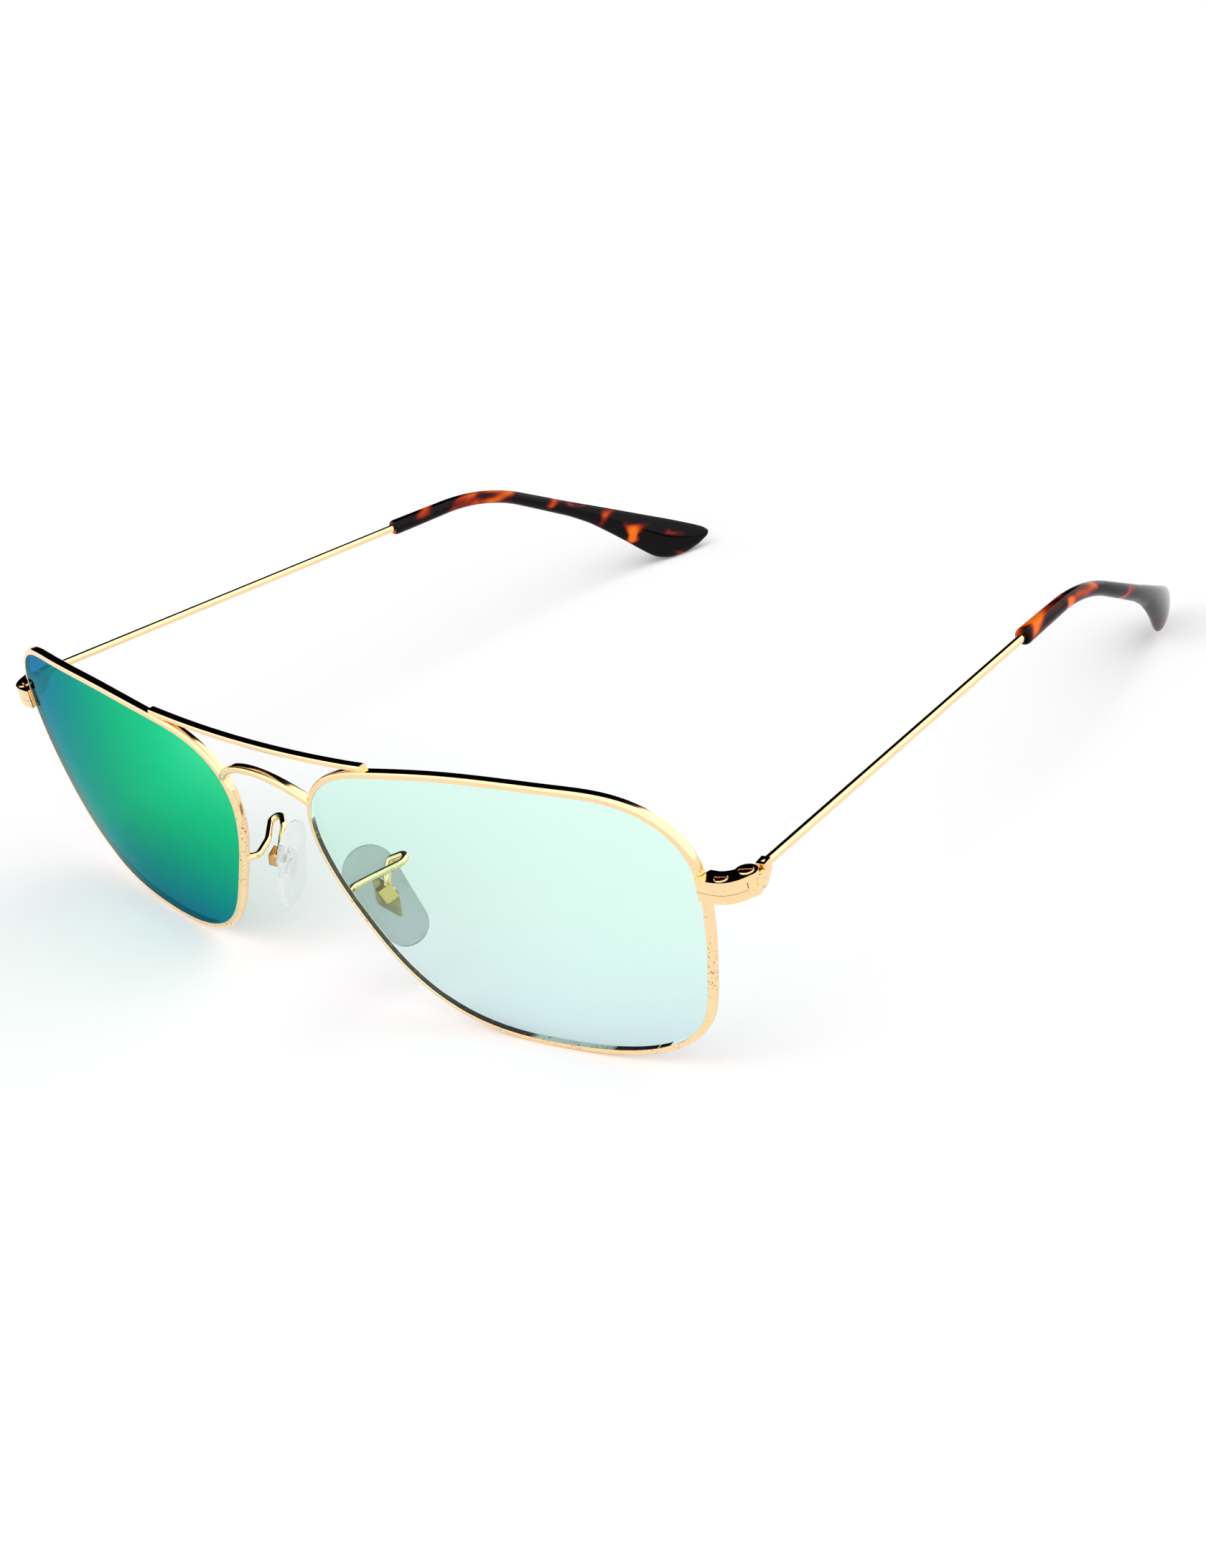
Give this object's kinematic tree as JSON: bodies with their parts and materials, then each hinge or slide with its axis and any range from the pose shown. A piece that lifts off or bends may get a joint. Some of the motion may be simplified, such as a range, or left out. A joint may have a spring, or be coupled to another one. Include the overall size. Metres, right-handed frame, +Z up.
{
  "type": "aviator sunglasses",
  "caption": "Gold-framed aviator sunglasses with mirror-coated lenses, a brow bar, hinged wire temples with tortoiseshell tips and rocking nose pads.",
  "frame": {"origin": "on the table, in the plane of symmetry, midway between the eyewires' lowest points", "axes": "+X towards the wearer's left, +Y from the front back along the open temples, +Z up off the table"},
  "size_m": [0.145, 0.1387, 0.0402],
  "materials": {
    "gold_plate": "polished gold plating, lightly worn along the lower eyewires",
    "screw_metal": "polished, slotted heads",
    "mirror_lens": "polished, green-blue mirror coating",
    "clear_lens": "polished, pale mint tint",
    "tortoiseshell": "polished acetate, near-black with amber patches",
    "pad_plastic": "smooth, translucent"
  },
  "bodies": {
    "front": {"brow_bar": "gold_plate", "bridge": "gold_plate", "left_rim": "gold_plate", "left_lens": "clear_lens", "left_upper_closing_block": "gold_plate", "left_lower_closing_block": "gold_plate", "left_closing_screw": "screw_metal", "left_hinge_screw": "screw_metal", "left_pad_arm": "gold_plate", "left_pad_box": "gold_plate", "left_pad_screw": "screw_metal", "right_rim": "gold_plate", "right_lens": "mirror_lens", "right_upper_closing_block": "gold_plate", "right_lower_closing_block": "gold_plate", "right_closing_screw": "screw_metal", "right_hinge_screw": "screw_metal", "right_pad_arm": "gold_plate", "right_pad_box": "gold_plate", "right_pad_screw": "screw_metal"},
    "left_temple": {"left_temple_hinge": "gold_plate", "left_temple_wire": "gold_plate", "left_temple_tip": "tortoiseshell"},
    "left_pad": {"left_pad_insert": "gold_plate", "left_nose_pad": "pad_plastic"},
    "right_temple": {"right_temple_hinge": "gold_plate", "right_temple_wire": "gold_plate", "right_temple_tip": "tortoiseshell"},
    "right_pad": {"right_pad_insert": "gold_plate", "right_nose_pad": "pad_plastic"}
  },
  "joints": [
    {"name": "left_temple_fold", "type": "hinge", "parent": "front", "child": "left_temple", "pos_m": [0.07105, 0.01085, 0.0281], "axis": [0, 0, 1], "range_deg": [0, 78]},
    {"name": "right_temple_fold", "type": "hinge", "parent": "front", "child": "right_temple", "pos_m": [-0.07105, 0.01085, 0.0281], "axis": [0, 0, -1], "range_deg": [0, 74]},
    {"name": "left_pad_rock", "type": "hinge", "parent": "front", "child": "left_pad", "pos_m": [0.01122, 0.00503, 0.01489], "axis": [0.3194, 0.9111, 0.2604], "range_deg": [-8, 8]},
    {"name": "right_pad_rock", "type": "hinge", "parent": "front", "child": "right_pad", "pos_m": [-0.01122, 0.00503, 0.01489], "axis": [0.3194, -0.9111, -0.2604], "range_deg": [-8, 8]}
  ]
}
